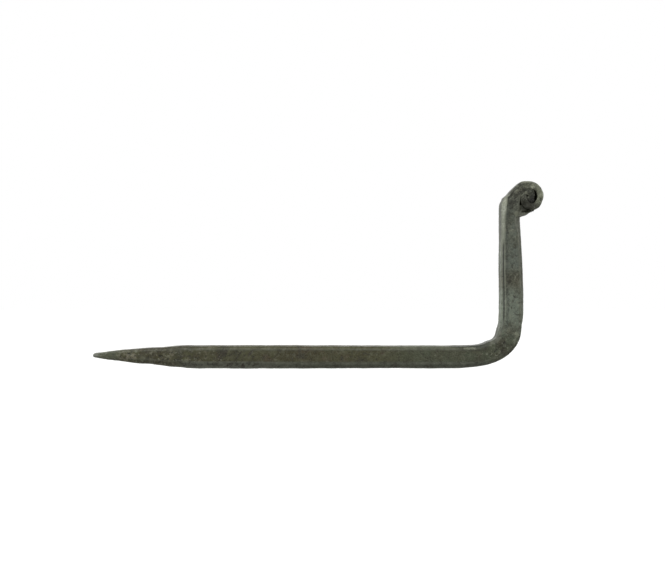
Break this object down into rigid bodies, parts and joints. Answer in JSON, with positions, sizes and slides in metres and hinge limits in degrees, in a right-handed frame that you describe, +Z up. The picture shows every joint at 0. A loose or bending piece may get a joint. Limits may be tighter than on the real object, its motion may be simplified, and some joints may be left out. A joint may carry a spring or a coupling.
{
  "type": "l hook",
  "caption": "Forged square-bar L hook with a long drawn point to drive into timber, a right-angle bend and a small rolled scroll at the end of its arm.",
  "frame": {"origin": "on the centreline of the shank at the root of its drawn point, where a driven hook meets the timber", "axes": "+X along the shank from the point to the bend, +Z up along the arm, +Y across the width of the bar, away from the viewer"},
  "size_m": [0.133, 0.0064, 0.055],
  "materials": {
    "forged_iron": "dull dark forge scale over hammered iron, olive-grey with brown rust patches, worn lighter on the corners"
  },
  "bodies": {
    "root": {"l_hook": "forged_iron"}
  },
  "joints": []
}
